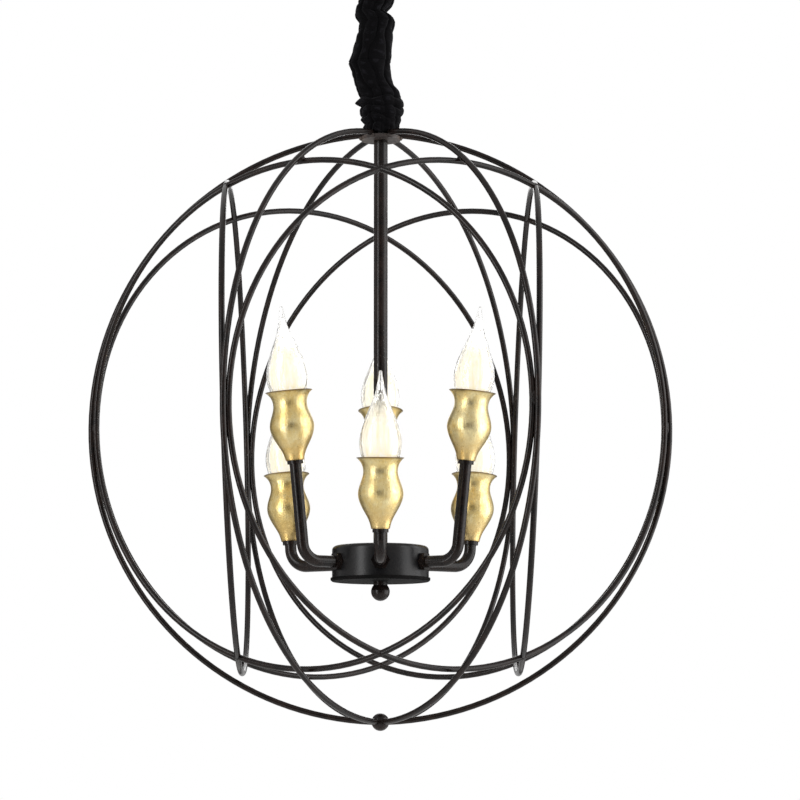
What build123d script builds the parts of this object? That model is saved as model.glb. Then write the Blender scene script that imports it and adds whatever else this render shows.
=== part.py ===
from build123d import *
import os
from math import acos, cos, degrees, radians, sin, sqrt, tan

# Orb chandelier, in millimetres.
# The origin is on the ceiling, at the centre of the bracket, and +Z points up,
# so the lamp hangs below zero. The front of the lamp looks towards -Y.

os.makedirs("parts", exist_ok=True)

# ---------------------------------------------------------------- ceiling end
bracket_length = 90.0
bracket_width = 20.0
bracket_thickness = 2.0
bracket_slot_spacing = 60.0
bracket_slot_length = 12.0
bracket_slot_width = 5.0
bracket_corner = 3.0
canopy_clearance = 3.8
canopy_height = 26.0
canopy_corner = 9.0
sheet_thickness = 1.2
nipple_length = 24.0
nipple_sink = 0.2
loop_base_diameter = 16.0
loop_base_engagement = 8.0
collar_ring_diameter = 26.0
collar_ring_height = 5.0
collar_ring_chamfer = 1.0
loop_base_below_ring = 2.0

# ------------------------------------------------------- threads, nuts, fits
thread_diameter = 10.0
lead_bore_diameter = 7.0
nut_across_flats = 14.0
nut_height = 5.0
fit_clearance = 0.05
hole_clearance = 0.1
seat_gap = 0.3

# ------------------------------------------------------------- eyes and chain
eye_wire = 4.0
eye_hole_diameter = 13.0
eye_root = 1.0
link_wire = 3.2
link_inner_length = 24.0
link_inner_width = 8.0
link_count = 4
hub_loop_base_height = 6.2
hub_thread_engagement = 5.2

# ----------------------------------------------------------------- globe wires
globe_width = 500.0
wire = 5.0
rib_count = 6
rib_top_reach = 9.5
rib_seat_depth = 1.0
rib_lower_shift = 3.0
ring_lean = 1.8
hub_plate_diameter = 34.0
hub_plate_thickness = 3.0
bottom_ball_diameter = 15.0
rib_bottom_gap = 0.3

# --------------------------------------------------------------- light cluster
light_count = 6
stem_diameter = 12.0
body_diameter = 82.5
body_height = 27.4
body_corner = 4.0
body_top_drop = 101.1
cover_overhang = 1.25
cover_thickness = 3.0
cover_lip_height = 2.0
cover_lip_width = 1.5
cover_chamfer = 1.2
finial_neck_diameter = 12.0
finial_neck_height = 1.5
finial_neck_sink = 1.0
finial_ball_diameter = 16.0
finial_engagement = 7.0
arm_drop = 116.0
arm_tube = 10.0
arm_wall = 1.0
arm_bend_radius = 16.0
arm_inner_end = 33.0
arm_nut_height = 4.0
arm_collar_diameter = 13.4
arm_collar_height = 3.0
arm_thread_length = 9.0
short_seat_radius = 90.2
short_seat_drop = 93.8
short_lean = 4.0
tall_seat_radius = 83.0
tall_seat_drop = 32.2
tall_lean = 6.2

# -------------------------------------------------------- cup, holder and bulb
cup_height = 58.7
cup_bottom_diameter = 15.4
cup_root_diameter = 18.6
cup_root_height = 6.0
cup_flare_diameter = 26.6
cup_flare_height = 13.8
cup_bulge_diameter = 37.4
cup_bulge_height = 28.4
cup_neck_diameter = 28.6
cup_neck_height = 46.0
cup_rim_diameter = 39.5
cup_wall = 0.9
cup_floor_diameter = 13.6
holder_base_diameter = 14.0
holder_base_start = 4.5
holder_body_start = 12.0
holder_body_diameter = 20.6
holder_chamfer = 2.0
holder_top = 36.7
socket_diameter = 14.2
socket_floor = 13.0
cap_clearance = 0.1
cap_length = 24.0
contact_diameter = 6.0
contact_height = 1.4
glass_start = 38.7
glass_height = 92.0
glass_root_diameter = 13.2
glass_waist_diameter = 23.0
glass_waist_height = 10.0
glass_belly_diameter = 35.0
glass_belly_height = 30.0
glass_shoulder_diameter = 25.0
glass_shoulder_height = 53.0
glass_flame_diameter = 8.4
glass_flame_height = 75.0
glass_tip_diameter = 2.8
glass_wall = 1.0
glass_tip_solid = 8.0

# ---------------------------------------------------------------- cloth sleeve
sleeve_wall = 1.2
sleeve_scallops = 8
sleeve_fold_depth = 0.07
# each row: height over the hub plate's top, left edge, right edge, half depth, twist in degrees
sleeve_rows = [
    (4.7, -16.5, 17.3, 16.5, 0),
    (9.0, -15.4, 16.4, 15.6, 4),
    (11.4, -13.8, 16.1, 14.6, 5),
    (15.3, -17.3, 18.0, 16.2, 8),
    (21.2, -17.7, 18.8, 17.2, 4),
    (27.1, -18.4, 19.5, 17.6, -4),
    (30.1, -21.4, 19.5, 17.5, -8),
    (34.5, -18.1, 18.3, 16.4, -2),
    (40.0, -19.5, 16.1, 15.8, 5),
    (46.8, -22.4, 11.1, 15.2, 7),
    (57.7, -24.2, 8.2, 15.3, 4),
    (64.6, -27.3, 7.3, 15.4, 2),
    (73.0, -24.6, 9.2, 14.8, 0),
    (89.3, -20.6, 9.4, 14.6, -3),
    (96.0, -18.2, 9.4, 13.8, 0),
    (102.2, -18.0, 11.8, 15.2, 4),
    (106.1, -20.6, 9.7, 15.8, 2),
    (110.1, -22.1, 5.6, 16.2, 0),
    (112.6, -21.8, 6.4, 16.0, -3),
    (116.5, -20.6, 8.7, 15.6, -2),
    (122.0, -18.2, 11.3, 15.0, 0),
    (139.4, -14.5, 14.5, 14.5, 0),
]

# ------------------------------------------------------------- worked-out sizes
thread_radius = thread_diameter / 2
thread_hole_radius = thread_radius + fit_clearance
lead_radius = lead_bore_diameter / 2
wire_radius = wire / 2

canopy_diameter = bracket_length + 2 * (canopy_clearance + sheet_thickness)
nipple_top = -nipple_sink
nipple_bottom = nipple_top - nipple_length
collar_top = -canopy_height
collar_bottom = collar_top - collar_ring_height
loop_base_top = nipple_bottom + loop_base_engagement
loop_base_bottom = collar_bottom - loop_base_below_ring

eye_radius = (eye_hole_diameter + eye_wire) / 2
eye_outer_radius = eye_radius + eye_wire / 2
eye_to_link = (eye_wire + link_wire) / 2 + seat_gap
canopy_eye_z = loop_base_bottom - eye_outer_radius + eye_root
chain_pivot_z = canopy_eye_z - eye_radius

link_half = (link_inner_length + link_wire) / 2
link_bend_radius = (link_inner_width + link_wire) / 2
link_pitch = link_inner_length - seat_gap
first_link_z = chain_pivot_z + eye_to_link - link_half
last_link_z = first_link_z - link_pitch * (link_count - 1)
globe_pivot_z = last_link_z - link_half + eye_to_link
hub_eye_z = globe_pivot_z - eye_radius
hub_base_top = hub_eye_z - eye_outer_radius + eye_root
hub_base_bottom = hub_base_top - hub_loop_base_height
plate_top = hub_base_bottom - nut_height
plate_bottom = plate_top - hub_plate_thickness

# Each rib, and the ends of the two rings beside it, lie close-packed at the
# equator. Every ring leans out at its top until it touches the rib it sits in.
equator_radius = globe_width / 2 - wire_radius
ring_sphere_radius = equator_radius - wire * sqrt(3) / 2
ring_radius = ring_sphere_radius * sqrt(3) / 2 - wire_radius / 2
ring_offset = (wire + ring_radius * sqrt(1 + 3 * sin(radians(ring_lean)) ** 2)) / sqrt(3)
ring_top_reach = ring_offset + ring_radius * sin(radians(ring_lean))
ring_top_height = ring_radius * cos(radians(ring_lean))
rib_inner_reach = equator_radius - wire
rib_upper_shift = (ring_top_reach**2 + ring_top_height**2 - rib_inner_reach**2) / (
    2 * (rib_inner_reach - ring_top_reach)
)
rib_upper_radius = equator_radius + rib_upper_shift
rib_lower_radius = equator_radius + rib_lower_shift


def rib_height(reach):
    """Height of a rib's upper half over the globe's centre, at a distance from the axis."""
    return sqrt(rib_upper_radius**2 - (reach + rib_upper_shift) ** 2)


def rib_depth(reach):
    """Depth of a rib's lower half under the globe's centre, at a distance from the axis."""
    return sqrt(rib_lower_radius**2 - (reach + rib_lower_shift) ** 2)


globe_z = plate_top - rib_seat_depth + wire_radius - rib_height(hub_plate_diameter / 2)
rib_bottom_reach = wire + rib_bottom_gap
bottom_ball_z = globe_z - rib_depth(rib_bottom_reach)

body_top = globe_z - body_top_drop
body_bottom = body_top - body_height
cover_bottom = body_bottom - cover_thickness
finial_ball_z = cover_bottom - finial_neck_height - finial_ball_diameter / 2 + finial_neck_sink
stem_bottom = cover_bottom - finial_engagement + seat_gap
arm_z = globe_z - arm_drop
body_radius = body_diameter / 2

turn_step = 360 / rib_count
light_step = 360 / light_count
front_azimuth = 270
lights = [
    (short_seat_radius, short_seat_drop, short_lean),
    (tall_seat_radius, tall_seat_drop, tall_lean),
]


def outward(azimuth):
    """Unit vector from the axis, level, towards an azimuth in degrees."""
    return Vector(cos(radians(azimuth)), sin(radians(azimuth)), 0)


def upright_plane(azimuth, height):
    """Upright plane through the axis: local x points outwards, local y points up."""
    side = outward(azimuth - 90)
    return Plane(origin=(0, 0, height), x_dir=outward(azimuth), z_dir=side)


def section_plane(seat):
    """Plane of a profile turned about the seat's normal: local y runs along that normal."""
    return Plane(origin=seat.origin, x_dir=seat.x_dir, z_dir=-seat.y_dir)


def light_seat(azimuth, reach, height, lean):
    """Plane of a cup's bottom face, its normal leaning outwards by lean degrees."""
    axis = outward(azimuth) * sin(radians(lean)) + Vector(0, 0, 1) * cos(radians(lean))
    base = outward(azimuth) * reach + Vector(0, 0, height)
    return Plane(origin=base, x_dir=outward(azimuth + 90), z_dir=axis)


def turned(seat, outline):
    """Solid turned about the seat's normal from (radius, height) points."""
    with BuildPart() as piece:
        with BuildSketch(section_plane(seat)):
            with BuildLine():
                Polyline(*outline, close=True)
            make_face()
        revolve(axis=Axis(seat.origin, seat.z_dir))
    return piece.part


def hex_nut(seat, height):
    """Hex nut standing on the seat, with the common thread's hole."""
    with BuildPart() as piece:
        with BuildSketch(seat):
            RegularPolygon(nut_across_flats / 2, 6, major_radius=False)
            Circle(thread_hole_radius, mode=Mode.SUBTRACT)
        extrude(amount=height)
    return piece.part


# ================================================================ ceiling end
with BuildPart() as ceiling_bracket:
    with BuildSketch(Plane.XY.offset(-bracket_thickness)) as bracket_outline:
        Rectangle(bracket_length, bracket_width)
        fillet(bracket_outline.vertices(), bracket_corner)
        Circle(thread_hole_radius, mode=Mode.SUBTRACT)
        with Locations((-bracket_slot_spacing / 2, 0), (bracket_slot_spacing / 2, 0)):
            SlotOverall(bracket_slot_length, bracket_slot_width, mode=Mode.SUBTRACT)
    extrude(amount=bracket_thickness)
ceiling_bracket.part.label = "ceiling_bracket"
export_step(ceiling_bracket.part, "parts/ceiling_bracket.step")

with BuildPart() as nipple:
    with BuildSketch(Plane.XY.offset(nipple_bottom)):
        Circle(thread_radius)
        Circle(lead_radius, mode=Mode.SUBTRACT)
    extrude(amount=nipple_length)
nipple.part.label = "nipple"
export_step(nipple.part, "parts/nipple.step")

with BuildPart() as bracket_nut:
    add(hex_nut(Plane.XY.offset(-bracket_thickness - nut_height), nut_height))
bracket_nut.part.label = "bracket_nut"
export_step(bracket_nut.part, "parts/bracket_nut.step")

with BuildPart() as canopy:
    with BuildSketch(Plane.XY.offset(-canopy_height)):
        Circle(canopy_diameter / 2)
    extrude(amount=canopy_height)
    fillet(canopy.faces().sort_by(Axis.Z)[0].edges(), canopy_corner)
    offset(amount=-sheet_thickness, openings=canopy.faces().sort_by(Axis.Z)[-1])
    with BuildSketch(Plane.XY.offset(-canopy_height)):
        Circle(loop_base_diameter / 2 + hole_clearance)
    extrude(amount=sheet_thickness, mode=Mode.SUBTRACT)
canopy.part.label = "canopy"
export_step(canopy.part, "parts/canopy.step")

with BuildPart() as collar_ring:
    with BuildSketch(Plane.XY.offset(collar_bottom)):
        Circle(collar_ring_diameter / 2)
        Circle(loop_base_diameter / 2 + fit_clearance, mode=Mode.SUBTRACT)
    extrude(amount=collar_ring_height)
    chamfer(collar_ring.faces().sort_by(Axis.Z)[0].outer_wire().edges(), collar_ring_chamfer)
collar_ring.part.label = "collar_ring"
export_step(collar_ring.part, "parts/collar_ring.step")

# The canopy's loop: a threaded base with an eye in the X-Z plane below it.
with BuildPart() as canopy_loop:
    with BuildSketch(Plane.XY.offset(loop_base_bottom)):
        Circle(loop_base_diameter / 2)
    extrude(amount=loop_base_top - loop_base_bottom)
    with Locations(upright_plane(0, canopy_eye_z)):
        Torus(eye_radius, eye_wire / 2)
    with BuildSketch(Plane.XY.offset(nipple_bottom)):
        Circle(thread_hole_radius)
    extrude(amount=loop_base_engagement, mode=Mode.SUBTRACT)
canopy_loop.part.label = "canopy_loop"
export_step(canopy_loop.part, "parts/canopy_loop.step")

# ================================================================= suspension
# Links 1 and 3 stand in the Y-Z plane, links 2 and 4 in the X-Z plane.
link_straight = link_half - link_bend_radius
with BuildPart() as chain_links:
    for index in range(link_count):
        link_plane = upright_plane(90 - 90 * (index % 2), first_link_z - index * link_pitch)
        with BuildLine(link_plane) as oval:
            Line((link_bend_radius, -link_straight), (link_bend_radius, link_straight))
            CenterArc((0, link_straight), link_bend_radius, 0, 180)
            Line((-link_bend_radius, link_straight), (-link_bend_radius, -link_straight))
            CenterArc((0, -link_straight), link_bend_radius, 180, 180)
        with BuildSketch(Plane(origin=oval.wire() @ 0, z_dir=oval.wire() % 0)):
            Circle(link_wire / 2)
        sweep(path=oval.wire(), mode=Mode.ADD)
chain_links.part.label = "chain_links"
export_step(chain_links.part, "parts/chain_links.step")


def sleeve_section(row, inset):
    """Closed scalloped outline of the gathered cloth at one height, shrunk by inset."""
    height, left, right, depth, twist = row
    middle = (left + right) / 2
    half_width = (right - left) / 2 - inset
    half_depth = depth - inset
    valleys = []
    crowns = []
    for index in range(sleeve_scallops):
        crown_angle = radians(360 * index / sleeve_scallops + twist)
        valley_angle = radians(360 * (index - 0.5) / sleeve_scallops + twist)
        crowns.append((middle + half_width * cos(crown_angle), half_depth * sin(crown_angle)))
        valleys.append(
            (
                middle + half_width * (1 - sleeve_fold_depth) * cos(valley_angle),
                half_depth * (1 - sleeve_fold_depth) * sin(valley_angle),
            )
        )
    with BuildSketch(Plane.XY.offset(height)) as section:
        with BuildLine():
            for index in range(sleeve_scallops):
                ThreePointArc(valleys[index], crowns[index], valleys[(index + 1) % sleeve_scallops])
        make_face()
    return section.sketch.face()


# The sleeve is drawn over the ribs, and its rows are stretched to reach the canopy's ring.
sleeve_bottom = plate_top + sleeve_rows[0][0]
sleeve_top = collar_bottom - seat_gap
sleeve_stretch = (sleeve_top - sleeve_bottom) / (sleeve_rows[-1][0] - sleeve_rows[0][0])
placed_rows = []
for row in sleeve_rows:
    row_height = sleeve_bottom + (row[0] - sleeve_rows[0][0]) * sleeve_stretch
    placed_rows.append((row_height,) + row[1:])
sleeve_outer = [sleeve_section(row, 0) for row in placed_rows]
sleeve_inner = [sleeve_section(row, sleeve_wall) for row in placed_rows]
with BuildPart() as fabric_sleeve:
    loft(sleeve_outer, ruled=True)
    loft(sleeve_inner, ruled=True, mode=Mode.SUBTRACT)
fabric_sleeve.part.label = "fabric_sleeve"
export_step(fabric_sleeve.part, "parts/fabric_sleeve.step")

# The globe's loop: an eye in the Y-Z plane on a base that turns on the stem's thread.
with BuildPart() as hub_loop:
    with BuildSketch(Plane.XY.offset(hub_base_bottom)):
        Circle(loop_base_diameter / 2)
    extrude(amount=hub_loop_base_height)
    with Locations(upright_plane(90, hub_eye_z)):
        Torus(eye_radius, eye_wire / 2)
    with BuildSketch(Plane.XY.offset(hub_base_bottom)):
        Circle(thread_hole_radius)
    extrude(amount=hub_thread_engagement, mode=Mode.SUBTRACT)
hub_loop.part.label = "hub_loop"
export_step(hub_loop.part, "parts/hub_loop.step")

with BuildPart() as hub_nut:
    add(hex_nut(Plane.XY.offset(plate_top), nut_height))
hub_nut.part.label = "hub_nut"
export_step(hub_nut.part, "parts/hub_nut.step")

# ================================================================ globe wires
rib_top_angle = degrees(acos((rib_top_reach + rib_upper_shift) / rib_upper_radius))
rib_bottom_angle = degrees(acos((rib_bottom_reach + rib_lower_shift) / rib_lower_radius))
ribs = []
for index in range(rib_count):
    with BuildPart() as rib:
        with BuildLine(upright_plane(index * turn_step, globe_z)) as hoop:
            CenterArc((-rib_lower_shift, 0), rib_lower_radius, -rib_bottom_angle, rib_bottom_angle)
            CenterArc((-rib_upper_shift, 0), rib_upper_radius, 0, rib_top_angle)
        with BuildSketch(Plane(origin=hoop.wire() @ 0, z_dir=hoop.wire() % 0)):
            Circle(wire_radius)
        sweep(path=hoop.wire())
    rib.part.label = f"rib_{index + 1}"
    export_step(rib.part, f"parts/rib_{index + 1}.step")
    ribs.append(rib.part)

for index in range(rib_count):
    towards = outward(index * turn_step)
    upwards = Vector(0, 0, 1)
    ring_plane = Plane(
        origin=towards * ring_offset + upwards * globe_z,
        x_dir=upwards * cos(radians(ring_lean)) + towards * sin(radians(ring_lean)),
        z_dir=towards * cos(radians(ring_lean)) - upwards * sin(radians(ring_lean)),
    )
    with BuildPart(ring_plane) as ring:
        Torus(ring_radius, wire_radius)
    ring.part.label = f"ring_{index + 1}"
    export_step(ring.part, f"parts/ring_{index + 1}.step")

with BuildPart() as hub_plate:
    with BuildSketch(Plane.XY.offset(plate_bottom)):
        Circle(hub_plate_diameter / 2)
        Circle(thread_hole_radius, mode=Mode.SUBTRACT)
    extrude(amount=hub_plate_thickness)
    for seated_rib in ribs:
        add(seated_rib, mode=Mode.SUBTRACT)
hub_plate.part.label = "hub_plate"
export_step(hub_plate.part, "parts/hub_plate.step")

with BuildPart() as bottom_ball:
    with Locations((0, 0, bottom_ball_z)):
        Sphere(bottom_ball_diameter / 2)
    for seated_rib in ribs:
        add(seated_rib, mode=Mode.SUBTRACT)
bottom_ball.part.label = "bottom_ball"
export_step(bottom_ball.part, "parts/bottom_ball.step")

# ============================================================== light cluster
# The stem: a tube whose two ends are turned down to the common thread.
stem_outline = [
    (lead_radius, stem_bottom),
    (thread_radius, stem_bottom),
    (thread_radius, body_top),
    (stem_diameter / 2, body_top),
    (stem_diameter / 2, plate_bottom),
    (thread_radius, plate_bottom),
    (thread_radius, hub_base_bottom + hub_thread_engagement - seat_gap),
    (lead_radius, hub_base_bottom + hub_thread_engagement - seat_gap),
]
with BuildPart() as stem:
    add(turned(Plane.XY, stem_outline))
stem.part.label = "stem"
export_step(stem.part, "parts/stem.step")

with BuildPart() as body_shell:
    with BuildSketch(Plane.XY.offset(body_bottom)):
        Circle(body_radius)
    extrude(amount=body_height)
    fillet(body_shell.faces().sort_by(Axis.Z)[-1].edges(), body_corner)
    offset(amount=-sheet_thickness, openings=body_shell.faces().sort_by(Axis.Z)[0])
    with BuildSketch(Plane.XY.offset(body_top)):
        Circle(thread_hole_radius)
    extrude(amount=-sheet_thickness, mode=Mode.SUBTRACT)
    for index in range(light_count):
        towards = outward(front_azimuth + index * light_step)
        with BuildSketch(Plane(origin=(0, 0, arm_z), z_dir=towards)):
            Circle(arm_tube / 2 + hole_clearance)
        extrude(amount=body_radius, mode=Mode.SUBTRACT)
body_shell.part.label = "body_shell"
export_step(body_shell.part, "parts/body_shell.step")

lip_outer = body_radius - sheet_thickness - hole_clearance
lip_inner = lip_outer - cover_lip_width
with BuildPart() as body_cover:
    with BuildSketch(Plane.XY.offset(cover_bottom)):
        Circle(body_radius + cover_overhang)
    extrude(amount=cover_thickness)
    chamfer(body_cover.faces().sort_by(Axis.Z)[0].edges(), cover_chamfer)
    with BuildSketch(Plane.XY.offset(body_bottom)):
        Circle(lip_outer)
        Circle(lip_inner, mode=Mode.SUBTRACT)
    extrude(amount=cover_lip_height)
    with BuildSketch(Plane.XY.offset(cover_bottom)):
        Circle(thread_hole_radius)
    extrude(amount=cover_thickness, mode=Mode.SUBTRACT)
body_cover.part.label = "body_cover"
export_step(body_cover.part, "parts/body_cover.step")

with BuildPart() as stem_nut:
    add(hex_nut(Plane.XY.offset(body_top - sheet_thickness - nut_height), nut_height))
stem_nut.part.label = "stem_nut"
export_step(stem_nut.part, "parts/stem_nut.step")

with BuildPart() as finial:
    with BuildSketch(Plane.XY.offset(finial_ball_z)):
        Circle(finial_neck_diameter / 2)
    extrude(amount=cover_bottom - finial_ball_z)
    with Locations((0, 0, finial_ball_z)):
        Sphere(finial_ball_diameter / 2)
    with BuildSketch(Plane.XY.offset(cover_bottom)):
        Circle(thread_hole_radius)
    extrude(amount=-finial_engagement, mode=Mode.SUBTRACT)
finial.part.label = "finial"
export_step(finial.part, "parts/finial.step")

# Each light: a bent arm, the cup on its collar, the holder on its thread, and the bulb.
cup_outline = [
    (cup_bottom_diameter / 2, 0),
    (cup_root_diameter / 2, cup_root_height),
    (cup_flare_diameter / 2, cup_flare_height),
    (cup_bulge_diameter / 2, cup_bulge_height),
    (cup_neck_diameter / 2, cup_neck_height),
    (cup_rim_diameter / 2, cup_height),
]
holder_outline = [
    (thread_hole_radius, holder_base_start),
    (holder_base_diameter / 2, holder_base_start),
    (holder_base_diameter / 2, holder_body_start),
    (holder_body_diameter / 2 - holder_chamfer, holder_body_start),
    (holder_body_diameter / 2, holder_body_start + holder_chamfer),
    (holder_body_diameter / 2, holder_top),
    (socket_diameter / 2, holder_top),
    (socket_diameter / 2, socket_floor),
    (0, socket_floor),
    (0, arm_thread_length + seat_gap),
    (thread_hole_radius, arm_thread_length + seat_gap),
]
cap_radius = socket_diameter / 2 - cap_clearance
cap_bottom = glass_start - cap_length
cap_outline = [
    (0, cap_bottom - contact_height),
    (contact_diameter / 2, cap_bottom - contact_height),
    (contact_diameter / 2, cap_bottom),
    (cap_radius, cap_bottom),
    (cap_radius, glass_start),
    (0, glass_start),
]

# The glass is a spun flame: outer wall, rounded tip, and the inner wall a wall's width inside.
glass_outer = [
    (glass_root_diameter / 2, glass_start),
    (glass_waist_diameter / 2, glass_start + glass_waist_height),
    (glass_belly_diameter / 2, glass_start + glass_belly_height),
    (glass_shoulder_diameter / 2, glass_start + glass_shoulder_height),
    (glass_flame_diameter / 2, glass_start + glass_flame_height),
    (glass_tip_diameter / 2, glass_start + glass_height - glass_tip_diameter / 2),
]
glass_inner = [(radius - glass_wall, height) for radius, height in glass_outer[:-1]]
glass_inner_top = glass_start + glass_height - glass_tip_solid
cup_hole_radius = arm_tube / 2 + hole_clearance
cup_inner = [(cup_floor_diameter / 2, cup_wall)]
cup_inner += [(radius - cup_wall, height) for radius, height in cup_outline[1:]]

for index in range(light_count):
    number = index + 1
    azimuth = front_azimuth + index * light_step
    seat_radius, seat_drop, lean = lights[index % len(lights)]
    rise = arm_drop - seat_drop
    seat = light_seat(azimuth, seat_radius, globe_z - seat_drop, lean)
    corner_reach = seat_radius - rise * tan(radians(lean))
    end_reach = seat_radius + arm_thread_length * sin(radians(lean))
    end_rise = rise + arm_thread_length * cos(radians(lean))

    with BuildPart() as arm:
        with BuildLine(upright_plane(azimuth, arm_z)) as arm_path:
            corners = [(arm_inner_end, 0), (corner_reach, 0), (end_reach, end_rise)]
            FilletPolyline(*corners, radius=arm_bend_radius)
        with BuildSketch(Plane(origin=arm_path.wire() @ 0, z_dir=arm_path.wire() % 0)):
            Circle(arm_tube / 2)
            Circle(arm_tube / 2 - arm_wall, mode=Mode.SUBTRACT)
        sweep(path=arm_path.wire())
        with BuildSketch(seat.offset(-arm_collar_height)):
            Circle(arm_collar_diameter / 2)
            Circle(arm_tube / 2 - arm_wall / 2, mode=Mode.SUBTRACT)
        extrude(amount=arm_collar_height)
    arm.part.label = f"arm_{number}"
    export_step(arm.part, f"parts/arm_{number}.step")

    with BuildPart() as cup:
        with BuildSketch(section_plane(seat)):
            with BuildLine():
                outer_wall = Spline(*cup_outline)
                inner_wall = Spline(*cup_inner)
                Line(outer_wall @ 1, inner_wall @ 1)
                Polyline(inner_wall @ 0, (cup_hole_radius, cup_wall), (cup_hole_radius, 0), outer_wall @ 0)
            make_face()
        revolve(axis=Axis(seat.origin, seat.z_dir))
    cup.part.label = f"cup_{number}"
    export_step(cup.part, f"parts/cup_{number}.step")

    with BuildPart() as lampholder:
        add(turned(seat, holder_outline))
    lampholder.part.label = f"lampholder_{number}"
    export_step(lampholder.part, f"parts/lampholder_{number}.step")

    with BuildPart() as bulb_cap:
        add(turned(seat, cap_outline))
    bulb_cap.part.label = f"bulb_cap_{number}"
    export_step(bulb_cap.part, f"parts/bulb_cap_{number}.step")

    with BuildPart() as bulb_glass:
        with BuildSketch(section_plane(seat)):
            with BuildLine():
                outer_wall = Spline(*glass_outer)
                tip = Line(outer_wall @ 1, (0, glass_start + glass_height))
                inner_wall = Spline(*glass_inner)
                Polyline(inner_wall @ 1, (0, glass_inner_top), tip @ 1)
                Line(outer_wall @ 0, inner_wall @ 0)
            make_face()
        revolve(axis=Axis(seat.origin, seat.z_dir))
    bulb_glass.part.label = f"bulb_glass_{number}"
    export_step(bulb_glass.part, f"parts/bulb_glass_{number}.step")

# Nuts on the arms: one outside the box's wall and one inside it, clear of its curve.
nut_corner_radius = nut_across_flats / sqrt(3)
inner_wall_radius = body_radius - sheet_thickness
inner_nut_reach = sqrt(inner_wall_radius**2 - nut_corner_radius**2) - fit_clearance - arm_nut_height
with BuildPart() as arm_nuts:
    for index in range(light_count):
        towards = outward(front_azimuth + index * light_step)
        for reach in (inner_nut_reach, body_radius):
            add(hex_nut(Plane(origin=towards * reach + Vector(0, 0, arm_z), z_dir=towards), arm_nut_height))
arm_nuts.part.label = "arm_nuts"
export_step(arm_nuts.part, "parts/arm_nuts.step")

print(f"globe centre at z {globe_z:.3f}, chain pivot {chain_pivot_z:.3f}, globe pivot {globe_pivot_z:.3f}")
print(f"plate top {plate_top:.3f}, body top {body_top:.3f}")
print(f"lamp bottom {bottom_ball_z - bottom_ball_diameter / 2:.3f}")
print(f"ring offset {ring_offset:.3f}, ring radius {ring_radius:.3f}")
print(f"rib radii {rib_upper_radius:.3f} and {rib_lower_radius:.3f}")
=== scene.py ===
# %% [markdown]
# # Orb chandelier, dressed for a picture
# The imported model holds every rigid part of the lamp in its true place, in metres, with the
# origin on the ceiling above the lamp and the lamp hanging below zero. This lesson keeps the
# parts whose shape is already right, gives each a worked material, and makes finer pieces for
# what a plain solid can't show: the gathered velvet, the leafed cups, the lit bulbs and the
# small welds between the wires.

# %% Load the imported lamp
from math import radians

import bmesh
import bpy
import numpy as np
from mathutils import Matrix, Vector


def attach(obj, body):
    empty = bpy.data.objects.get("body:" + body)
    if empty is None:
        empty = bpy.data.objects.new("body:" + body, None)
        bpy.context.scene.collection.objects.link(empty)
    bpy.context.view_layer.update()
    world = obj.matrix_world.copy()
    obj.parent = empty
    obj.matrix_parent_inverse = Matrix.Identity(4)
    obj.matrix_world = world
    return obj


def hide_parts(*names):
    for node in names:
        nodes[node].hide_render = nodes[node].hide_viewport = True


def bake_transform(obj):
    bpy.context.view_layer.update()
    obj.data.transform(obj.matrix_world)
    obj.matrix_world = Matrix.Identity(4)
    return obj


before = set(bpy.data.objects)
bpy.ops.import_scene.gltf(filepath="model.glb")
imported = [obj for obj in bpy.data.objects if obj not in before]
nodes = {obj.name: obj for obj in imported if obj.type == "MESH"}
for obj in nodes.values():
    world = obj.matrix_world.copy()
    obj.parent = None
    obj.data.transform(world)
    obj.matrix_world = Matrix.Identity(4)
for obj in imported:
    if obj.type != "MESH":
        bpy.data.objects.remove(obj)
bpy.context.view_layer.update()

# %% [markdown]
# ## The view
# The picture was taken from a little under the globe, with a long lens. The camera's place was
# worked out from the two rings and the poles of the globe, so the same view comes back here
# without any shift. The lamp hangs in a white room: the room's light is plain and soft, and
# what the eye, the metal and the glass see behind the lamp is white.

# %% Camera
camera_data = bpy.data.cameras.new("camera")
camera_data.sensor_width = 36.0
camera_data.lens = 133.876
camera = bpy.data.objects.new("camera", camera_data)
camera.location = (0.0, -2.5310, -0.7158)
camera.rotation_euler = (radians(97.109), 0.0, radians(-0.377))
bpy.context.collection.objects.link(camera)
bpy.context.scene.camera = camera
bpy.context.scene.view_settings.view_transform = "Standard"
print("camera", tuple(round(x, 3) for x in camera.location))

# %% [markdown]
# ## Building material graphs with few words
# A material is a small graph of nodes, and a few helpers keep the graphs readable. One adds a
# node and connects its inputs in the same call. Four more stand for the nodes that come up most:
# noise, a change of range, a sum and a mix of colours. Others start a node group, which is an
# effect that several materials share with their own values, and place it in a material.

# %% Node helpers
def add_node(tree, kind, inputs=None, **settings):
    """A node of the tree, with its settings, and its inputs set to values or other sockets."""
    node = tree.nodes.new("ShaderNode" + kind)
    for name, value in settings.items():
        setattr(node, name, value)
    for name, value in (inputs or {}).items():
        if isinstance(value, bpy.types.NodeSocket):
            tree.links.new(value, node.inputs[name])
        else:
            node.inputs[name].default_value = value
    return node


def noise(tree, place, scale, detail, **inputs):
    """Noise between about 0 and 1 over a place, with so much detail."""
    sockets = {"Vector": place, "Scale": scale, "Detail": detail, **inputs}
    return add_node(tree, "TexNoise", sockets).outputs[0]


def remap(tree, value, start, end, low=0.0, high=1.0):
    """The value carried from start..end to low..high, and held at both ends."""
    sockets = {"Value": value, "From Min": start, "From Max": end, "To Min": low, "To Max": high}
    return add_node(tree, "MapRange", sockets).outputs[0]


def combine(tree, operation, first, second):
    """A sum, product or maximum of two values."""
    return add_node(tree, "Math", {0: first, 1: second}, operation=operation).outputs[0]


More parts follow.
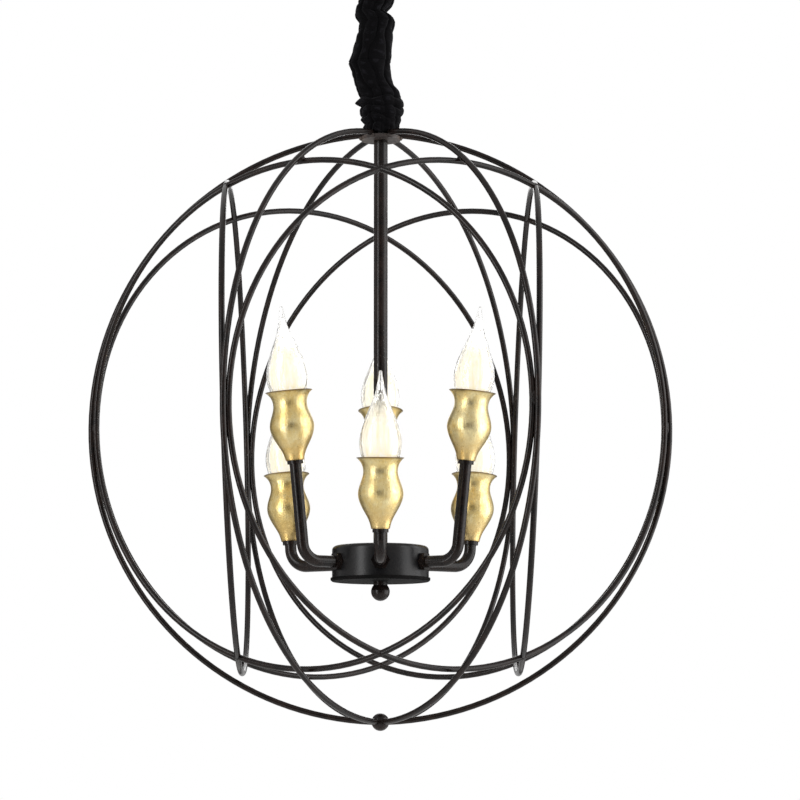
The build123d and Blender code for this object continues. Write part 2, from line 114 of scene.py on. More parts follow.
def mix_colours(tree, share, first, second):
    """The first colour where the share is 0 and the second where it is 1."""
    return add_node(tree, "Mix", {0: share, 6: first, 7: second}, data_type="RGBA").outputs[2]


def carried_mask(tree, name):
    """A mask between 0 and 1 that the mesh itself carries."""
    return add_node(tree, "Attribute", attribute_name=name).outputs["Fac"]


def start_group(name, inputs, outputs):
    """A node group with named inputs (name, kind, value) and outputs (name, kind)."""
    tree = bpy.data.node_groups.new(name, "ShaderNodeTree")
    for label, kind, value in inputs:
        socket = tree.interface.new_socket(label, in_out="INPUT", socket_type="NodeSocket" + kind)
        if value is not None:
            socket.default_value = value
    for label, kind in outputs:
        tree.interface.new_socket(label, in_out="OUTPUT", socket_type="NodeSocket" + kind)
    return tree, tree.nodes.new("NodeGroupInput").outputs, tree.nodes.new("NodeGroupOutput").inputs


def use_group(tree, group, **inputs):
    """The outputs of a node group placed in a material, with its own values."""
    node = tree.nodes.new("ShaderNodeGroup")
    node.node_tree = group
    for name, value in inputs.items():
        if isinstance(value, bpy.types.NodeSocket):
            tree.links.new(value, node.inputs[name])
        else:
            node.inputs[name].default_value = value
    return node.outputs


def start_material(name, **constants):
    """A material whose Principled shader holds the values that are the same all over."""
    material = bpy.data.materials.new(name)
    material.use_nodes = True
    tree = material.node_tree
    shader = tree.nodes["Principled BSDF"]
    for label, value in constants.items():
        shader.inputs[label.replace("_", " ")].default_value = value
    place = add_node(tree, "TexCoord").outputs
    return material, tree, shader, place


def drive(tree, shader, height=None, strength=0.3, distance=0.001, **sockets):
    """Connects colours and masks to the shader, and a height through a Bump node."""
    for label, socket in sockets.items():
        tree.links.new(socket, shader.inputs[label.replace("_", " ")])
    if height is not None:
        bump = add_node(tree, "Bump", {"Strength": strength, "Distance": distance, "Height": height})
        tree.links.new(bump.outputs["Normal"], shader.inputs["Normal"])


# %% [markdown]
# ## The room
# A pale floor lies well under the lamp, and the world is white to the eye and through glass,
# and plain grey as a source of light and as a mirrored wall. Three large soft lamps give the
# metal its bright bands. Dark screens stand behind the lamp's sides and in front of it, seen by
# gloss only: every studio sets such screens up, because metal needs something dark to mirror.

# %% World, floor, lamps and screens
white = (1.0, 1.0, 1.0, 1.0)
room_light = 0.5
mirrored_wall = 0.62
world = bpy.data.worlds.new("white_room")
bpy.context.scene.world = world
world.use_nodes = True
room = world.node_tree
room.nodes.clear()
seen = add_node(room, "LightPath").outputs
shown = combine(room, "MAXIMUM", seen["Is Camera Ray"], seen["Is Transmission Ray"])
soft = add_node(room, "Background", {"Color": white, "Strength": room_light})
wall = add_node(room, "Background", {"Color": white, "Strength": mirrored_wall})
clean = add_node(room, "Background", {"Color": white, "Strength": 1.0})
lit = add_node(room, "MixShader", {0: seen["Is Glossy Ray"], 1: soft.outputs[0], 2: wall.outputs[0]})
room_mix = add_node(room, "MixShader", {0: shown, 1: lit.outputs[0], 2: clean.outputs[0]})
add_node(room, "OutputWorld", {"Surface": room_mix.outputs[0]})


def lamp(name, place, target, size, power):
    """A rectangular soft lamp at a place, turned to face a target."""
    data = bpy.data.lights.new(name, "AREA")
    data.shape = "RECTANGLE"
    data.size, data.size_y = size
    data.energy = power
    item = bpy.data.objects.new(name, data)
    item.location = place
    item.rotation_euler = (Vector(target) - Vector(place)).to_track_quat("-Z", "Y").to_euler()
    bpy.context.collection.objects.link(item)


globe_centre = (0.0, 0.0, -0.4243)
lamp("left_lamp", (-1.5, -1.4, -0.3), globe_centre, (0.45, 2.6), 23.0)
lamp("right_lamp", (1.75, -0.25, -0.3), globe_centre, (1.9, 2.6), 40.0)
lamp("back_lamp", (0.4, 2.2, 0.3), globe_centre, (1.6, 1.2), 10.0)


def stage_panel(name, corners, material, mirrored_only=False):
    """A flat four-cornered stage piece, which only gloss sees if it is there to be mirrored."""
    mesh = bpy.data.meshes.new(name)
    mesh.from_pydata(corners, [], [(0, 1, 2, 3)])
    mesh.materials.append(material)
    item = bpy.data.objects.new(name, mesh)
    bpy.context.collection.objects.link(item)
    if mirrored_only:
        item.visible_camera = False
        item.visible_diffuse = False
        item.visible_shadow = False
        item.visible_transmission = False


floor_paint, floor_tree, floor_shader, floor_place = start_material("pale_floor", Roughness=0.9)
floor_grain = noise(floor_tree, floor_place["Object"], 3.0, 4.0)
floor_tone = mix_colours(floor_tree, floor_grain, (0.83, 0.83, 0.83, 1), (0.87, 0.87, 0.86, 1))
drive(floor_tree, floor_shader, Base_Color=floor_tone)
floor_height = -1.45
floor_half = 4.0
stage_panel(
    "floor",
    [(-floor_half, -floor_half, floor_height), (floor_half, -floor_half, floor_height),
     (floor_half, floor_half, floor_height), (-floor_half, floor_half, floor_height)],
    floor_paint,
)
screen_paint = start_material("dark_screen", Base_Color=(0.03, 0.027, 0.025, 1), Roughness=1.0)[0]
screen_low, screen_high = -1.3, 0.5
screen_spots = [((-1.5, 0.9), (-0.7, 1.7)), ((1.1, 1.3), (0.5, 1.8)), ((-1.35, -3.2), (0.95, -3.2))]
for index, (start, end) in enumerate(screen_spots):
    corners = [(*start, screen_low), (*end, screen_low), (*end, screen_high), (*start, screen_high)]
    stage_panel(f"dark_screen_{index + 1}", corners, screen_paint, mirrored_only=True)
print("room ready")

# %% [markdown]
# ## Surfaces from two parameters
# Every new piece here is a surface worked out as a grid: one parameter runs along the piece,
# the other round it, and numpy computes all the points at once. The helper turns such a grid
# into a mesh, closes it where it meets itself, merges each pole into one point, and turns the
# faces outwards.

# %% Mesh helpers
millimetre = 0.001


def grid_piece(name, points, material, along_closed=False, masks=None, sharp=40.0):
    """A mesh from a grid of points (rows along, columns round). The columns always close."""
    rows, columns = points.shape[:2]
    last_row = rows if along_closed else rows - 1
    row, column = np.meshgrid(np.arange(last_row), np.arange(columns), indexing="ij")
    next_row = (row + 1) % rows
    next_column = (column + 1) % columns
    corners = [(row, column), (row, next_column), (next_row, next_column), (next_row, column)]
    faces = np.stack([r * columns + c for r, c in corners], axis=-1).reshape(-1, 4)
    mesh = bpy.data.meshes.new(name)
    mesh.from_pydata(points.reshape(-1, 3), [], faces)
    round_share = np.stack([column, column + 1, column + 1, column], axis=-1) / columns
    along_share = np.stack([row, row, row + 1, row + 1], axis=-1) / last_row
    layout = mesh.uv_layers.new(name="surface")
    layout.data.foreach_set("uv", np.stack([round_share, along_share], axis=-1).ravel().astype(np.float32))
    for label, values in (masks or {}).items():
        mask = mesh.attributes.new(label, "FLOAT", "POINT")
        mask.data.foreach_set("value", np.broadcast_to(values, (rows, columns)).ravel().astype(np.float32))
    return finish_mesh(name, mesh, material, sharp)


def finish_mesh(name, mesh, material, sharp=40.0):
    """Merges poles, turns the faces outwards, smooths them, and makes the object."""
    work = bmesh.new()
    work.from_mesh(mesh)
    bmesh.ops.remove_doubles(work, verts=work.verts, dist=1e-7)
    work.to_mesh(mesh)
    work.free()
    mesh.calc_loop_triangles()
    triangles = np.zeros(len(mesh.loop_triangles) * 3, np.int32)
    mesh.loop_triangles.foreach_get("vertices", triangles)
    place = np.zeros(len(mesh.vertices) * 3)
    mesh.vertices.foreach_get("co", place)
    place = place.reshape(-1, 3)
    a, b, c = (place - place.mean(0))[triangles.reshape(-1, 3)].transpose(1, 0, 2)
    volume = float((a * np.cross(b, c)).sum() / 6)
    if volume < 0:
        mesh.flip_normals()
    mesh.polygons.foreach_set("use_smooth", np.ones(len(mesh.polygons), bool))
    mesh.set_sharp_from_angle(angle=radians(sharp))
    mesh.materials.append(material)
    item = bpy.data.objects.new(name, mesh)
    bpy.context.collection.objects.link(item)
    return item


def smooth_line(knots, count):
    """Points on the natural cubic spline through the knots, evenly spread by length of chord.

    The second derivatives solve the usual three-banded system, all in one go."""
    knots = np.asarray(knots, float)
    step = np.linalg.norm(np.diff(knots, axis=0), axis=1)
    at = np.concatenate([[0.0], np.cumsum(step)])
    slope = np.diff(knots, axis=0) / step[:, None]
    system = np.diag(np.concatenate([[1.0], 2 * (step[:-1] + step[1:]), [1.0]]))
    system += np.diag(np.concatenate([step[:-1], [0.0]]), -1)
    system += np.diag(np.concatenate([[0.0], step[1:]]), 1)
    right = np.zeros_like(knots)
    right[1:-1] = 6 * np.diff(slope, axis=0)
    bend = np.linalg.solve(system, right)
    where = np.linspace(0.0, at[-1], count)
    k = np.clip(np.searchsorted(at, where) - 1, 0, len(step) - 1)
    h = step[k][:, None]
    before = (at[k + 1] - where)[:, None]
    after = (where - at[k])[:, None]
    curve = (bend[k] * before**3 + bend[k + 1] * after**3) / (6 * h)
    curve += (knots[k] / h - bend[k] * h / 6) * before
    curve += (knots[k + 1] / h - bend[k + 1] * h / 6) * after
    return curve


def turned(profile, columns):
    """Grid of a profile of (radius, height) carried round the upright axis."""
    angle = np.linspace(0.0, 2 * np.pi, columns, endpoint=False)
    radius, height = np.asarray(profile, float).T
    across = radius[:, None] * np.cos(angle)
    deep = radius[:, None] * np.sin(angle)
    return np.stack([across, deep, np.broadcast_to(height[:, None], across.shape)], axis=-1)


def bell(where, centre, spread):
    """1 at the centre, falling off smoothly on both sides."""
    return np.exp(-(((where - centre) / spread) ** 2))


# %% [markdown]
# ## Where the six lights stand
# The lights stand at every 60 degrees, three on short arms and three on tall ones, and each
# leans a little outwards. A light's own pieces are worked out on an upright axis in
# millimetres, with zero at the cup's foot, and then set on its seat.

# %% Seats of the lights
light_count = 6
first_light = 270.0
light_seats = [(90.2, 93.8, 4.0), (83.0, 32.2, 6.2)]
globe_height = -424.337


def on_seat(number, local):
    """Points given on a light's own axis, in millimetres, put in place in metres."""
    azimuth = radians(first_light + (number - 1) * 360.0 / light_count)
    reach, drop, lean = light_seats[(number - 1) % 2]
    lean = radians(lean)
    outward = np.array([np.cos(azimuth), np.sin(azimuth), 0.0])
    side = np.array([-np.sin(azimuth), np.cos(azimuth), 0.0])
    upright = np.array([0.0, 0.0, 1.0])
    axis = outward * np.sin(lean) + upright * np.cos(lean)
    front = outward * np.cos(lean) - upright * np.sin(lean)
    foot = outward * reach + upright * (globe_height - drop)
    return (foot + np.asarray(local) @ np.stack([front, side, axis])) * millimetre


print("first seat", on_seat(1, np.zeros(3)).round(4))

# %% [markdown]
# ## Shared effects
# Three effects repeat through the finishes. Mottle is a slow drift between two colours with a
# finer grain on top, as hand-rubbed paint and old leaf have. Grain is the fine unevenness that
# a bump needs. Streaks are long thin variations that run upwards, as a brush or drawn glass
# leaves them.

# %% Node groups
def make_mottle():
    """Two colours, mixed by a slow noise plus a fine one; the mask is given out too."""
    tree, given, out = start_group(
        "mottle",
        [("Vector", "Vector", None), ("Main", "Color", white), ("Other", "Color", white),
         ("Scale", "Float", 40.0), ("Fine Scale", "Float", 400.0), ("Amount", "Float", 1.0)],
        [("Color", "Color"), ("Mask", "Float")],
    )
    slow = noise(tree, given["Vector"], given["Scale"], 3.0, Roughness=0.6)
    fine = noise(tree, given["Vector"], given["Fine Scale"], 4.0, Roughness=0.7)
    mask = remap(tree, combine(tree, "ADD", slow, fine), 0.85, 1.2, high=given["Amount"])
    tree.links.new(mix_colours(tree, mask, given["Main"], given["Other"]), out["Color"])
    tree.links.new(mask, out["Mask"])
    return tree


def make_grain():
    """Fine noise as a height, and a roughness between two values that follows it."""
    tree, given, out = start_group(
        "grain",
        [("Vector", "Vector", None), ("Scale", "Float", 900.0), ("Low", "Float", 0.3),
         ("High", "Float", 0.5)],
        [("Roughness", "Float"), ("Height", "Float")],
    )
    fine = noise(tree, given["Vector"], given["Scale"], 5.0, Roughness=0.65)
    tree.links.new(remap(tree, fine, 0.3, 0.7, given["Low"], given["High"]), out["Roughness"])
    tree.links.new(fine, out["Height"])
    return tree


def make_streaks():
    """Noise stretched upwards: the height is squeezed before the noise is read."""
    tree, given, out = start_group(
        "streaks",
        [("Vector", "Vector", None), ("Scale", "Float", 500.0), ("Squeeze", "Float", 0.08)],
        [("Mask", "Float")],
    )
    split = add_node(tree, "SeparateXYZ", {"Vector": given["Vector"]}).outputs
    low = combine(tree, "MULTIPLY", split["Z"], given["Squeeze"])
    flat = add_node(tree, "CombineXYZ", {"X": split["X"], "Y": split["Y"], "Z": low})
    lines = noise(tree, flat.outputs[0], given["Scale"], 3.0, Roughness=0.6)
    tree.links.new(remap(tree, lines, 0.35, 0.65), out["Mask"])
    return tree


mottle, grain, streaks = make_mottle(), make_grain(), make_streaks()
print("node groups", [g.name for g in bpy.data.node_groups])

# %% [markdown]
# ## Black iron
# The wires, arms and box are iron rod and sheet under a thin satin black paint. Where hands
# and tools have rubbed it the paint looks brown, and light runs along the wires in soft grey
# lines. A painted metal is a dark plain coat, not a mirror, so Metallic stays low. The drawn box
# has the same paint laid more evenly, and the hub plate is rubbed bare. The cover under the box
# gets a darker, matt copy of that paint, which is painted shade for the box's underside.

# %% Black iron, box, cover and rubbed plate
def black_paint(name, main, rubbed, low, high, lumps, shine):
    """Satin black paint with brown rubbed patches and a fine uneven skin."""
    material, tree, shader, place = start_material(name, Specular_IOR_Level=shine)
    tone = use_group(tree, mottle, Vector=place["Object"], Main=main, Other=rubbed, Scale=55.0)
    skin = use_group(tree, grain, Vector=place["Object"], Scale=lumps, Low=low, High=high)
    drive(tree, shader, height=skin["Height"], strength=0.2, distance=0.0002,
          Base_Color=tone["Color"], Roughness=skin["Roughness"])
    return material


iron = black_paint(
    "black_iron", (0.005, 0.0038, 0.0036, 1), (0.018, 0.011, 0.009, 1), 0.15, 0.27, 1300.0, 0.26)
box_paint = black_paint(
    "black_box", (0.004, 0.004, 0.005, 1), (0.009, 0.008, 0.008, 1), 0.25, 0.35, 1500.0, 0.30)
# The cover under the box: a darker, matt copy of the box paint, which is painted shade for the underside.
shaded_cover_paint = black_paint(
    "cover_painted_shade", (0.003, 0.003, 0.003, 1), (0.007, 0.006, 0.006, 1), 0.55, 0.75, 1500.0, 0.06)
plate_iron = black_paint(
    "rubbed_plate", (0.030, 0.022, 0.020, 1), (0.10, 0.075, 0.062, 1), 0.40, 0.60, 600.0, 0.4)

# %% [markdown]
# ## Gold leaf
# The cups are covered with thin metal leaf, brushed down by hand: pale gold where the leaf lies
# well, and browner where it is thin or where two leaves overlap. The rim and foot are darkened
# with painted shade, and the cone under the bulge, which faces down, gets a deeper gold that is
# painted shade too. Both come from masks that the cup's own grid carries.

# %% Gold leaf
def gold_leaf_material():
    """Pale and ochre gold in brushed streaks, with darker seams, and painted shade at the rim, the foot and
    the lower cone.
    """
    material, tree, shader, place = start_material("gold_leaf", Metallic=0.85)
    spot = place["Object"]
    tone = use_group(tree, mottle, Vector=spot, Scale=30.0, Main=(0.80, 0.60, 0.23, 1),
                     Other=(0.93, 0.80, 0.44, 1), **{"Fine Scale": 160.0})
    brush = use_group(tree, streaks, Vector=spot, Scale=650.0, Squeeze=0.10)
    worn = remap(tree, brush["Mask"], 0.0, 1.0, 0.28, 0.0)
    rubbed = mix_colours(tree, worn, tone["Color"], (0.55, 0.36, 0.12, 1))
    leaf = add_node(tree, "TexVoronoi", {"Vector": spot, "Scale": 85.0}, feature="DISTANCE_TO_EDGE")
    seam = remap(tree, leaf.outputs["Distance"], 0.0, 0.04, 0.10, 0.0)
    lined = mix_colours(tree, seam, rubbed, (0.45, 0.27, 0.09, 1))
    # The cone under the bulge faces down: its deeper gold is painted shade.
    share = combine(tree, "MULTIPLY", carried_mask(tree, "cone"), 0.55)
    lower = mix_colours(tree, share, lined, (0.70, 0.46, 0.16, 1))
    # The dark rim and foot are painted shade along the cup's edges.
    edged = mix_colours(tree, carried_mask(tree, "edge_shade"), lower, (0.13, 0.07, 0.025, 1))
    skin = use_group(tree, grain, Vector=spot, Scale=800.0, Low=0.24, High=0.38)
    rise = combine(tree, "ADD", brush["Mask"], skin["Height"])
    drive(tree, shader, height=rise, strength=0.25, distance=0.0003,
          Base_Color=edged, Roughness=skin["Roughness"])
    return material


gold = gold_leaf_material()

# %% [markdown]
# ## Velvet
# Velvet is almost black where one looks into the pile, and shows a dull grey sheen where the
# pile lies flat along a fold. Sheen does that in the shader. The pile's own fine grain
# and the crushed streaks follow the cloth's own map, so they move with it. The streaks are
# kept to the crowns of the folds, where they are a painted highlight, and the creases stay dark.

# %% Black velvet
def velvet_material():
    """Black pile with a soft sheen, and paler crushed streaks on the crowns of the folds, which are a painted
    highlight.
    """
    material, tree, shader, place = start_material(
        "black_velvet", Sheen_Weight=0.10, Sheen_Roughness=0.4, Sheen_Tint=(0.55, 0.53, 0.60, 1),
        Specular_IOR_Level=0.08,
    )
    weave = add_node(tree, "Mapping", {"Vector": place["UV"], "Scale": (0.12, 0.14, 1.0)}).outputs[0]
    pile = noise(tree, weave, 1500.0, 2.0)
    crush = noise(tree, weave, 120.0, 3.0, Distortion=0.8)
    # Crushed pile, kept to the fold crowns by the crown mask: real crush, and a painted highlight on the
    # crowns.
    crush_and_crown_highlight = combine(tree, "MULTIPLY", crush, carried_mask(tree, "crown"))
    share = remap(tree, crush_and_crown_highlight, 0.40, 0.75)
    tone = mix_colours(tree, share, (0.0012, 0.0010, 0.0014, 1), (0.010, 0.0095, 0.012, 1))
    drive(tree, shader, height=pile, strength=0.5, distance=0.0005,
          Base_Color=tone, Roughness=remap(tree, pile, 0.0, 1.0, 0.75, 0.95))
    return material


velvet = velvet_material()

# %% [markdown]
# ## Small finishes
# Zinc-plated steel on the ceiling bracket and the hidden nuts, nickel on the bulbs' screw caps,
# and cream plastic in the lampholders.

# %% Zinc, nickel and plastic
def plated(name, main, other, low, high):
    """Plated metal: two close greys in small spangles, and a fine brushed skin."""
    material, tree, shader, place = start_material(name, Metallic=0.9)
    tone = use_group(tree, mottle, Vector=place["Object"], Main=main, Other=other, Scale=220.0)
    skin = use_group(tree, grain, Vector=place["Object"], Scale=1500.0, Low=low, High=high)
    drive(tree, shader, height=skin["Height"], strength=0.15, distance=0.0002,
          Base_Color=tone["Color"], Roughness=skin["Roughness"])
    return material


zinc = plated("zinc_steel", (0.50, 0.51, 0.53, 1), (0.62, 0.62, 0.60, 1), 0.32, 0.48)
nickel = plated("nickel_cap", (0.70, 0.67, 0.62, 1), (0.78, 0.75, 0.70, 1), 0.18, 0.30)


def holder_plastic():
    """Cream heat-proof plastic with a faint moulded skin and slightly yellowed patches."""
    material, tree, shader, place = start_material("holder_insert")
    tone = use_group(tree, mottle, Vector=place["Object"], Main=(0.80, 0.77, 0.70, 1),
                     Other=(0.72, 0.66, 0.54, 1), Scale=90.0, Amount=0.5)
    skin = use_group(tree, grain, Vector=place["Object"], Scale=900.0, Low=0.45, High=0.6)
    drive(tree, shader, height=skin["Height"], strength=0.1, distance=0.0002,
          Base_Color=tone["Color"], Roughness=skin["Roughness"])
    return material


plastic = holder_plastic()

# %% [markdown]
# ## Materials of the carried parts
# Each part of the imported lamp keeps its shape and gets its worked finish.

# %% Finish the carried parts
zinc_parts = ("ceiling_bracket", "nipple", "bracket_nut", "stem_nut", "hub_nut")


def finish_for(name):
    """The finish of a carried part, by its name."""
    if name in zinc_parts:
        return zinc
    if name == "body_shell":
        return box_paint
    # The box's underside gets the darker copy of the box paint: painted shade.
    if name == "body_cover":
        return shaded_cover_paint
    if name == "hub_plate":
        return plate_iron
    if name.startswith("lampholder"):
        return plastic
    if name.startswith("cup"):
        return gold
    return iron


for name, node in nodes.items():
    node.data.materials.clear()
    node.data.materials.append(finish_for(name))
print("finished", len(nodes), "carried parts")

# %% [markdown]
# ## The cups
# Each cup is a spun tulip of thin metal with a soft rolled rim. A profile carried round the
# cup's own axis makes it; because the real ones are beaten and leafed by hand, the radius drifts
# by a fraction of a millimetre round the cup and the rim rises and falls a little.

# %% Cups
cup_outer = [
    (7.7, 0.0), (9.3, 6.0), (13.3, 13.8), (16.7, 20.4), (18.7, 28.4), (16.4, 38.4), (14.3, 46.0),
    (16.0, 54.2), (19.75, 58.7),
]
cup_height = cup_outer[-1][1]
cup_wall = 0.9
cup_floor = 6.8
cup_hole = 5.1
cup_columns = 96
cup_mean_radius = 16.0
rim_bead = (0.62, 0.5)
rim_sag = 0.25
# Widths of the painted shade at the rim and at the foot.
rim_shade_width, foot_shade_width = 1.1, 0.8
# Where the painted shade of the downward-facing cone ends, and over how much height it fades.
cone_top, cone_fade = 21.0, 12.0


def cup_profile():
    """Closed outline: up the outer wall, round the rim's bead, down the inner wall, foot."""
    outer = smooth_line(cup_outer, 60)
    inner_knots = [(cup_floor, cup_wall)] + [(radius - cup_wall, height) for radius, height in cup_outer[1:]]
    inner = smooth_line(inner_knots, 40)[::-1]
    turn = np.linspace(0.35, np.pi - 0.35, 7)
    middle = np.array([cup_outer[-1][0] - cup_wall / 2, cup_height - rim_bead[1]])
    bead = middle + np.stack([rim_bead[0] * np.cos(turn), rim_bead[1] * np.sin(turn)], axis=-1)
    foot = np.array([(cup_hole, cup_wall), (cup_hole, 0.0)])
    return np.concatenate([outer[:-2], bead, inner[2:], foot])


def make_cup(number):
    """One cup: the turned profile with a hand-made drift in its radius and rim."""
    profile = cup_profile()
    grid = turned(profile, cup_columns)
    angle = np.linspace(0.0, 2 * np.pi, cup_columns, endpoint=False)
    height = profile[:, 1][:, None]
    share = height / cup_height
    drift = 0.10 * np.sin(3 * angle + 1.7 * number + 4 * share)
    drift = drift + 0.06 * np.sin(7 * angle - 2.1 * number + 9 * share)
    free = np.clip(share * 3, 0, 1)
    scale = 1 + free * drift / cup_mean_radius
    grid[..., 0] *= scale
    grid[..., 1] *= scale
    grid[..., 2] += -rim_sag * share**6 * (1 + np.sin(2 * angle + number)) / 2
    # Painted shade: the rim and the foot of the cup are darkened.
    rim = bell(np.clip(cup_height - height, 0, None), 0.0, rim_shade_width)
    foot = 0.6 * bell(height, 0.0, foot_shade_width)
    # The cone mask places the painted shade on the downward-facing lower cup.
    masks = {"edge_shade": np.clip(rim + foot, 0, 1), "cone": np.clip((cone_top - height) / cone_fade, 0, 1)}
    piece = grid_piece(f"leafed_cup_{number}", on_seat(number, grid), gold, along_closed=True, masks=masks)
    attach(piece, "globe")
    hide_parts(f"cup_{number}")
    return piece


cups = [make_cup(number) for number in range(1, light_count + 1)]
print("cups", len(cups), "with", len(cups[0].data.polygons), "faces each")

# %% [markdown]
# ## Weld beads
# The wires are held by small welds, painted over: where a rib lands on the hub plate's edge,
# where each ring's top touches its rib, where two rings cross, and at the equator, where a rib
# gathers the sides of two rings. A bead is an ellipsoid whose radius drifts a little. The
# crossing of two leaning rings follows from their geometry: both meet the upright plane that
# stands between them, where A cos(t + shift) equals the ring's offset.

# %% Weld beads
ring_offset, ring_radius, ring_lean = 123.929, 209.341, radians(1.8)
rib_shift = 8.954
equator = 247.5
wire_radius = 2.5
plate_top = -170.7
rib_count = 6
rib_step = radians(360.0 / rib_count)
weld_radii = {
    "plate": (1.7, 1.5, 3.6), "top": (3.8, 1.9, 3.0), "side": (7.0, 2.2, 4.1),
    "crossing": (3.0, 3.0, 3.2),
}
plate_weld_spot = (17.4, plate_top - 1.0)
side_weld_spot = (equator - 2.6, globe_height)


def make_bead(name, azimuth, spot, along, radii, material):
    """A lump at (reach, height), long in the direction along (reach, height), with three radii:
    along, square to along in the upright plane, and sideways."""
    polar = np.linspace(0.0, np.pi, 17)[:, None]
    angle = np.linspace(0.0, 2 * np.pi, 28, endpoint=False)[None, :]
    seed = azimuth * 2.3 + spot[1] * 0.01
    drift = 1 + 0.09 * np.sin(3 * angle + seed) * np.sin(polar) ** 2 + 0.07 * np.sin(6 * polar + seed)
    local = np.stack([radii[0] * np.cos(polar) + 0 * angle, radii[1] * np.sin(polar) * np.cos(angle),
                      radii[2] * np.sin(polar) * np.sin(angle)], axis=-1) * drift[..., None]
    outward = np.array([np.cos(azimuth), np.sin(azimuth), 0.0])
    side = np.array([-np.sin(azimuth), np.cos(azimuth), 0.0])
    upright = np.array([0.0, 0.0, 1.0])
    first = along[0] * outward + along[1] * upright
    second = -along[1] * outward + along[0] * upright
    centre = spot[0] * outward + spot[1] * upright
    piece = grid_piece(name, (centre + local @ np.stack([first, second, side])) * millimetre, material)
    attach(piece, "globe")
    return piece


def crossings():
    """Reach and height over the globe's centre of the upper and lower crossing of two rings."""
    half_step = rib_step / 2
    slant = np.tan(half_step) * np.sin(ring_lean)
    reach_angle = np.arccos(np.tan(half_step) * ring_offset / (ring_radius * np.hypot(1.0, slant)))
    for sign in (1, -1):
        turn = sign * reach_angle - np.arctan(slant)
        out = ring_offset + ring_radius * np.sin(turn) * np.sin(ring_lean)
        yield out / np.cos(half_step), ring_radius * np.sin(turn) * np.cos(ring_lean)


top_reach = ring_offset + ring_radius * np.sin(ring_lean)
top_height = ring_radius * np.cos(ring_lean)
towards_rib = np.array([top_reach + rib_shift, top_height]) / np.hypot(top_reach + rib_shift, top_height)
touch = np.array([top_reach, top_height]) + wire_radius * towards_rib
top_weld_spot = (touch[0], touch[1] + globe_height)
along_rib = (towards_rib[1], -towards_rib[0])
up = (0.0, 1.0)
rib_welds = [
    ("plate_weld", plate_weld_spot, up, weld_radii["plate"], plate_iron),
    ("top_weld", top_weld_spot, along_rib, weld_radii["top"], iron),
    ("side_weld", side_weld_spot, up, weld_radii["side"], iron),
]
beads = []
for index in range(rib_count):
    azimuth = rib_step * index
    for label, spot, along, radii, material in rib_welds:
        beads.append(make_bead(f"{label}_{index + 1}", azimuth, spot, along, radii, material))
    for label, (reach, height) in zip(("upper_weld", "lower_weld"), crossings()):
        spot = (reach, height + globe_height)
        beads.append(make_bead(f"{label}_{index + 1}", azimuth + rib_step / 2, spot, up,
                               weld_radii["crossing"], iron))
print("weld beads", len(beads))

# %% [markdown]
# ## The bulbs
# A lit candle bulb is a thin flame-shaped glass with faint drawn ripples. What the eye sees is
# the clear tip and edges of the glass, and inside it a glow so bright that nothing behind it
# shows. So each bulb has a clear outer glass with two walls, and a soft-edged core of light. The
# core's light is streaked in warm cream and white.

# %% Glass and glow
def bulb_glass_material():
    """Clear glass with an uneven skin, and fine grey drawn lines where the tip was pulled."""
    material, tree, shader, place = start_material(
        "clear_glass", Roughness=0.03, IOR=1.45, Transmission_Weight=1.0)
    ripple = use_group(tree, streaks, Vector=place["Object"], Scale=300.0, Squeeze=0.12)
    drawn = use_group(tree, streaks, Vector=place["Object"], Scale=760.0, Squeeze=0.07)
    thin = remap(tree, drawn["Mask"], 0.72, 0.95)
    line = combine(tree, "MULTIPLY", thin, carried_mask(tree, "tip"))
    tint = mix_colours(tree, line, (1.0, 0.995, 0.98, 1), (0.42, 0.40, 0.37, 1))
    drive(tree, shader, height=ripple["Mask"], strength=0.25, distance=0.0006, Base_Color=tint)
    return material


def glow_material():
    """Light in cream and white streaks, fading out towards the tip."""
    material, tree, shader, place = start_material(
        "bulb_glow", Roughness=0.6, Emission_Strength=0.88, Base_Color=(0.25, 0.24, 0.20, 1))
    lines = use_group(tree, streaks, Vector=place["Object"], Scale=420.0, Squeeze=0.10)
    patches = use_group(tree, mottle, Vector=place["Object"], Main=(1.0, 0.97, 0.86, 1),
                        Other=(1.0, 1.0, 0.98, 1), Scale=60.0, Amount=1.0)
    tone = mix_colours(tree, lines["Mask"], (0.98, 0.86, 0.60, 1), patches["Color"])
    drive(tree, shader, Emission_Color=tone, Alpha=carried_mask(tree, "fade"))
    return material


glass, glow = bulb_glass_material(), glow_material()

# %% [markdown]
# The glass profile goes up the outer wall to the tip and comes back down the inner wall, so
# the piece is one closed skin with a real wall. The ripples are a small wave round the glass
# that turns slowly on its way up.

# %% Bulb glasses
glass_foot = 38.7
glass_tip = 1.4
glass_top = 92.0
glass_knots = [
    (6.6, 0.0), (11.5, 10.0), (17.5, 30.0), (12.5, 53.0), (4.2, 75.0), (glass_tip, glass_top - glass_tip),
]
inner_tip = [(0.0, 84.0), (1.6, 82.0)]
tip_start, tip_length = 46.0, 16.0
glass_wall = 1.0
glass_columns = 72


def rippled(grid, number, depth):
    """A small wave in the radius: twelve flutes that turn as they rise, none at the ends."""
    angle = np.arctan2(grid[..., 1], grid[..., 0])
    share = np.clip((grid[..., 2] - glass_foot) / glass_top, 0, 1)
    hump = np.sin(np.pi * np.clip(share * 1.05, 0, 1)) ** 0.7
    wave = np.sin(12 * angle + 5 * share + number) + 0.5 * np.sin(5 * angle - 9 * share + 2 * number)
    scale = 1 + depth * hump * wave
    grid = grid.copy()
    grid[..., 0] *= scale
    grid[..., 1] *= scale
    return grid


